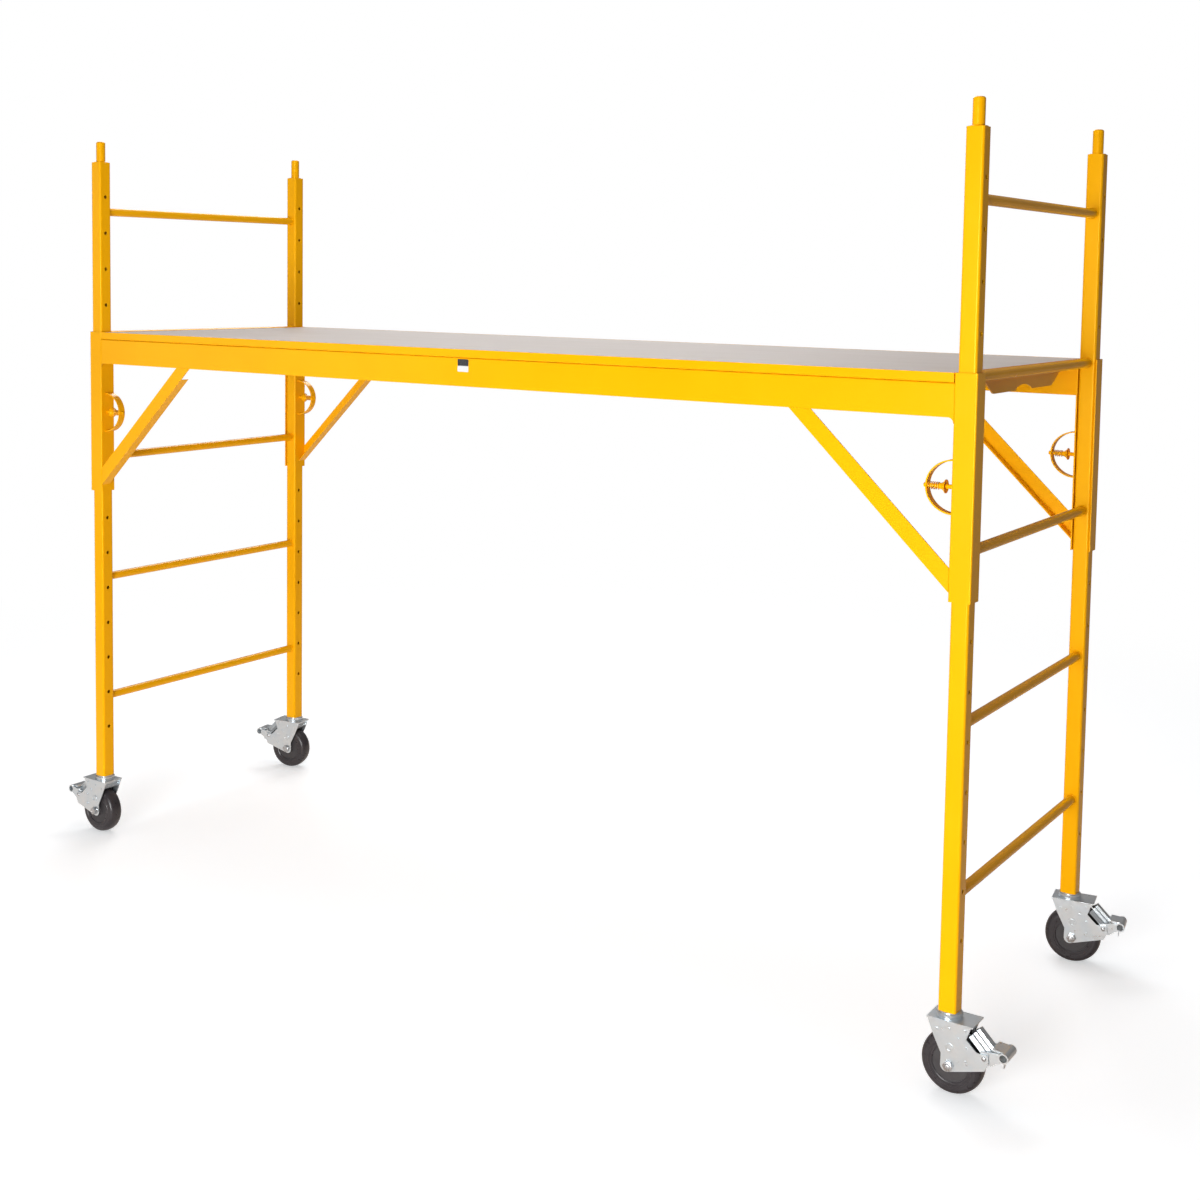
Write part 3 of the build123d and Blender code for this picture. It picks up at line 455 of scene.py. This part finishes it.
def piece(name, bm, body, slot):
    """Makes a smooth piece of a bmesh. It rides on a body and has a slot's material."""
    bmesh.ops.recalc_face_normals(bm, faces=bm.faces)
    data = bpy.data.meshes.new(name)
    bm.to_mesh(data)
    bm.free()
    data.shade_smooth()
    data.set_sharp_from_angle(angle=SHARP_ABOVE)
    made = bpy.data.objects.new(name, data)
    bpy.context.scene.collection.objects.link(made)
    data.materials.append(MATERIALS[slot])
    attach(made, body)
    return made


def loft(bm, rings, closed=False):
    """Skins rings of points, each with the same number of them, and caps the ends if open."""
    rows = [[bm.verts.new(point) for point in ring] for ring in rings]
    count = len(rows[0])
    pairs = list(zip(rows, rows[1:]))
    if closed:
        pairs.append((rows[-1], rows[0]))
    for low, high in pairs:
        for i in range(count):
            j = (i + 1) % count
            bm.faces.new((low[i], low[j], high[j], high[i]))
    if not closed:
        bm.faces.new(reversed(rows[0]))
        bm.faces.new(rows[-1])


def circle(at, axis, radius, count, start=None):
    """Points on a circle about an axis, the first of them towards start."""
    axis = axis.normalized()
    across = (start or axis.orthogonal()).normalized()
    up = axis.cross(across)
    turns = [2 * pi * i / count for i in range(count)]
    return [at + (across * cos(turn) + up * sin(turn)) * radius for turn in turns]


def lathe(bm, at, axis, profile, count=32):
    """Turns a profile of (radius, distance along the axis) about the axis."""
    axis = axis.normalized()
    loft(bm, [circle(at + axis * along, axis, radius, count) for radius, along in profile])


def hex_solid(bm, at, axis, across, height, start, dished=True):
    """Hexagon nut or dished bolt head with its corners turned down, from its seat out."""
    axis = axis.normalized()
    start = start.normalized()
    side = axis.cross(start)
    apothem = across / 2
    face = apothem * HEX_FACE
    rings = []
    for share in (0.0, 1.0):
        ring = []
        for i in range(HEX_POINTS):
            turn = 2 * pi * i / HEX_POINTS
            reach = apothem / cos((turn + pi / 6) % (pi / 3) - pi / 6)
            drop = (reach - face) * HEX_CORNER_FALL if share else 0.0
            out = start * cos(turn) + side * sin(turn)
            ring.append(at + out * reach + axis * (height * share - drop))
        rings.append(ring)
    rings.append(circle(at + axis * height, axis, face, HEX_POINTS, start))
    if dished:
        rim, floor, depth = HEX_DISH
        rings.append(circle(at + axis * height, axis, face * rim, HEX_POINTS, start))
        rings.append(circle(at + axis * (height - depth), axis, face * floor, HEX_POINTS, start))
    loft(bm, rings)


def line(start, end):
    """Closely spaced points from start to end."""
    start, end = Vector(start), Vector(end)
    count = max(2, round((end - start).length / BEAD_STEP))
    return [start.lerp(end, i / count) for i in range(count + 1)]


def bead(bm, path, radius, facing, chance, closed=False):
    """Sweeps a rippled weld bead along points. Facing is any direction across the path."""
    count = len(path)
    rings = []
    travelled = 0.0
    phase = chance.uniform(0, 2 * pi)
    for i, point in enumerate(path):
        ahead = path[(i + 1) % count] if closed or i < count - 1 else point
        behind = path[i - 1] if closed or i > 0 else point
        along = (ahead - behind).normalized()
        travelled += (point - behind).length
        ripple = 1 + BEAD_SWELL * sin(travelled / BEAD_WAVE * 2 * pi + phase)
        ripple += chance.uniform(-BEAD_JITTER, BEAD_JITTER)
        if not closed and i in (0, count - 1):
            ripple *= BEAD_END
        rings.append(circle(point, along, radius * ripple, BEAD_POINTS, along.cross(facing)))
    loft(bm, rings, closed)


# ---------------------------------------------------------------- welds

RUNG_COUNT = 5
BEAD = 1.7 * MM  # radius of a bead round a rung or a coupling pin
BEAD_VARIES = (0.9, 1.15)
RUNG_WELD_IN = 0.9 * MM  # from the post's face towards the rung's middle
RUNG_WELD_OUT = 0.5 * MM  # from the rung's skin to the bead's middle
RUNG_WELD_POINTS = 64
PIN_WELD_SINK = 0.2 * MM  # below the top of the post
PIN_WELD_OUT = 0.4 * MM  # from the pin's skin to the bead's middle
PIN_WELD_POINTS = 70


def build_rung_welds(side):
    """A bead round each end of each rung of one end frame."""
    low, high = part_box(f"rungs_{side}")
    radius = (high.x - low.x) / 2
    pitch = (high.z - low.z - 2 * radius) / (RUNG_COUNT - 1)
    chance = random.Random(f"rungs {side}")
    bm = bmesh.new()
    for i in range(RUNG_COUNT):
        for end_y in (low.y + RUNG_WELD_IN, high.y - RUNG_WELD_IN):
            at = Vector(((low.x + high.x) / 2, end_y, high.z - radius - i * pitch))
            path = circle(at, AXIS_Y, radius + RUNG_WELD_OUT, RUNG_WELD_POINTS)
            bead(bm, path, BEAD * chance.uniform(*BEAD_VARIES), AXIS_Y, chance, closed=True)
    piece(f"rung_welds_{side}", bm, "end_frames", "yellow_paint")


def build_coupling_welds():
    """A bead round the foot of each coupling pin."""
    chance = random.Random("coupling pins")
    pins_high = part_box("coupling_pins")[1]
    bm = bmesh.new()
    for corner in CORNERS:
        low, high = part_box(f"post_{corner}")
        centre = (low + high) / 2
        pin_radius = pins_high.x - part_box("post_front_right")[1].x + (high.x - low.x) / 2
        at = Vector((centre.x, centre.y, high.z - PIN_WELD_SINK))
        path = circle(at, AXIS_Z, pin_radius + PIN_WELD_OUT, PIN_WELD_POINTS)
        bead(bm, path, BEAD, AXIS_Z, chance, closed=True)
    piece("coupling_pin_welds", bm, "end_frames", "yellow_paint")


BRACE_WIDTH = 35 * MM
RAIL_GUSSET = 12 * MM  # height of the rounded gusset below each end of a rail
RAIL_SHEET = 3 * MM
SEAM_BEAD = 1.25 * MM
SEAM_SINK = 0.5 * MM  # below the rail's skin
GUARD_GAP = 0.2 * MM  # between a pin guard and the bead beside it


def build_truss_welds(corner):
    """Beads where the rail, the knee brace and the pin guard meet a sleeve and each other."""
    sx, sy = CORNERS[corner]
    row = corner.split("_")[0]
    chance = random.Random(f"truss {corner}")
    sleeve_low, sleeve_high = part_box(f"sleeve_{corner}")
    rail_low, rail_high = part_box(f"truss_rail_{row}")
    brace_low, brace_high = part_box(f"knee_brace_{corner}")
    guard_low, guard_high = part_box(f"pin_guard_{corner}")
    face_x = sleeve_low.x if sx > 0 else sleeve_high.x
    face_y = rail_high.y if sy > 0 else rail_low.y
    skin_y = face_y - sy * SEAM_SINK
    run = brace_high.x - brace_low.x
    drop = brace_high.z - brace_low.z
    foot = BRACE_WIDTH * hypot(run, drop) / run  # length of the brace's seam on the sleeve
    head = BRACE_WIDTH * hypot(run, drop) / drop  # and under the rail
    head_x = brace_low.x if sx > 0 else brace_high.x
    out_y = Vector((0, sy, 0))
    out_x = Vector((-sx, 0, 0))
    bm = bmesh.new()
    seams = [
        ((face_x, skin_y, rail_low.z + 2 * MM), (face_x, skin_y, rail_high.z - 3 * MM), out_y),
        ((face_x, skin_y, brace_low.z + MM), (face_x, skin_y, brace_low.z + foot - MM), out_y),
        (
            (head_x + sx * MM, skin_y, brace_high.z),
            (head_x + sx * (head - MM), skin_y, brace_high.z),
            out_y,
        ),
    ]
    inside_y = face_y - sy * RAIL_SHEET
    foot_of_rail = (face_x, inside_y, rail_low.z + RAIL_GUSSET)
    head_of_rail = (face_x, inside_y, rail_high.z - 4 * MM)
    seams.append((foot_of_rail, head_of_rail, out_x))
    for level in (guard_low.z - GUARD_GAP, guard_high.z + GUARD_GAP):
        seams.append(((face_x, guard_low.y, level), (face_x, guard_high.y, level), out_x))
    for start, end, facing in seams:
        bead(bm, line(start, end), SEAM_BEAD, facing, chance)
    piece(f"truss_welds_{corner}", bm, "trusses", "yellow_paint")


# ---------------------------------------------------------------- springs

SPRING_WIRE = 0.9 * MM  # radius
SPRING_TURNS = 5.5  # with its closed ends
SPRING_CLOSED = 0.6  # turns at each end that lie on the next one
SPRING_POINTS = 220
WIRE_POINTS = 10


def build_spring(corner):
    """Coil with closed ends between a pull pin's collar and its guard."""
    sx, _ = CORNERS[corner]
    low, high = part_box(f"pin_spring_{corner}")
    centre = (low + high) / 2
    collar_x = high.x if sx > 0 else low.x
    length = high.x - low.x - 2 * SPRING_WIRE
    radius = (high.z - low.z) / 2 - SPRING_WIRE
    open_turns = SPRING_TURNS - 2 * SPRING_CLOSED
    path = []
    for i in range(SPRING_POINTS + 1):
        share = i / SPRING_POINTS
        turned = share * SPRING_TURNS
        to_go = (1 - share) * SPRING_TURNS
        rise = min(1.0, max(0.0, (turned - SPRING_CLOSED) / open_turns))
        closing = min(turned, SPRING_CLOSED, to_go) * SPRING_WIRE
        end_gap = closing if share < 0.5 else -closing
        angle = turned * 2 * pi
        x = collar_x - sx * (SPRING_WIRE + rise * length + end_gap * (0.5 - abs(rise - 0.5)) * 2)
        path.append(Vector((x, centre.y + radius * cos(angle), centre.z + radius * sin(angle))))
    rings = []
    for i, point in enumerate(path):
        along = path[min(i + 1, SPRING_POINTS)] - path[max(i - 1, 0)]
        rings.append(circle(point, along, SPRING_WIRE, WIRE_POINTS, along.cross(AXIS_X)))
    bm = bmesh.new()
    loft(bm, rings)
    spring = piece(f"spring_coil_{corner}", bm, f"pull_pin_{corner}", "spring_steel")
    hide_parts(f"pin_spring_{corner}")
    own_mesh(spring)


# ---------------------------------------------------------------- casters

YOKE_HALF = 29.1 * MM  # from the yoke's middle to just outside a side plate
AXLE_R = 6 * MM
WASHER_R = 11.5 * MM
WASHER_THICK = 1.6 * MM
WASHER_EDGE = 0.4 * MM
WASHER_POINTS = 40
HEX_ACROSS = 18.6 * MM
HEX_HEAD = 6 * MM
NUT_THICK = 8 * MM
THREAD_STEP = 0.5 * MM  # along the bolt, from a crest to a root
THREAD_STEPS = 7
THREAD_CREST = 0.1 * MM  # below the bolt's radius
THREAD_ROOT = 0.55 * MM
THREAD_PAST_NUT = 3 * MM
THREAD_END = 1.2 * MM  # chamfer at the tip
TIP_R = 2 * MM
PIVOT_R = 3.5 * MM
RIVET_R = 4.8 * MM
RIVET_DOME = 0.42  # height over radius
RIVET_EDGE = 0.5 * MM  # straight edge under the dome
DOME_TURNS = (0.0, 0.35, 0.7, 1.05, 1.35, 1.5)  # radians up the dome, one for each ring


def build_fasteners(corner):
    """Axle bolt with washers and nut, and the brake lever's domed pivot rivet."""
    axle = JOINTS[f"wheel_spin_{corner}"]
    at = Vector(axle["pos_m"])
    left = Vector(axle["axis"]).normalized()
    pivot = Vector(JOINTS[f"brake_press_{corner}"]["pos_m"])
    across = left.cross(AXIS_Z)
    head = at + left * YOKE_HALF
    nut = at - left * YOKE_HALF
    washer = [
        (AXLE_R, 0.0),
        (WASHER_R - WASHER_EDGE, 0.0),
        (WASHER_R, WASHER_EDGE),
        (WASHER_R, WASHER_THICK - WASHER_EDGE),
        (WASHER_R - WASHER_EDGE, WASHER_THICK),
        (AXLE_R, WASHER_THICK),
    ]
    thread = [(AXLE_R - THREAD_CREST, 0.0)]
    for i in range(THREAD_STEPS):
        depth = THREAD_CREST if i % 2 else THREAD_ROOT
        thread.append((AXLE_R - depth, NUT_THICK + (i - 1) * THREAD_STEP))
    tip = NUT_THICK + THREAD_PAST_NUT
    thread += [(AXLE_R - THREAD_END, tip), (TIP_R, tip)]
    rivet = [(RIVET_R, 0.0)]
    for turn in DOME_TURNS:
        height = RIVET_R * RIVET_DOME * sin(turn)
        rivet.append((RIVET_R * cos(turn), height + RIVET_EDGE))
    bm = bmesh.new()
    lathe(bm, nut, left, [(AXLE_R, 0.0), (AXLE_R, 2 * YOKE_HALF)])
    lathe(bm, head, left, washer, WASHER_POINTS)
    hex_solid(bm, head + left * WASHER_THICK, left, HEX_ACROSS, HEX_HEAD, across)
    hex_solid(bm, nut, -left, HEX_ACROSS, NUT_THICK, AXIS_Z, dished=False)
    lathe(bm, nut, -left, thread)
    lathe(bm, pivot - left * YOKE_HALF, left, [(PIVOT_R, 0.0), (PIVOT_R, 2 * YOKE_HALF)])
    for out in (left, -left):
        lathe(bm, pivot + out * YOKE_HALF, out, rivet)
    made = piece(f"caster_fasteners_{corner}", bm, f"caster_yoke_{corner}", "bolt_steel")
    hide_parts(f"caster_bolts_{corner}")


def build_pieces():
    """Every piece that is added to the CAD model or takes the place of one of its nodes."""
    for side in ("left", "right"):
        build_rung_welds(side)
    build_coupling_welds()
    for corner in CORNERS:
        build_truss_welds(corner)
        build_spring(corner)
        build_fasteners(corner)


# ---------------------------------------------------------------- the scene

bpy.context.scene.view_settings.view_transform = "Standard"
build_camera()
build_lights()
build_world()
build_floor()
dress_nodes()
build_pieces()
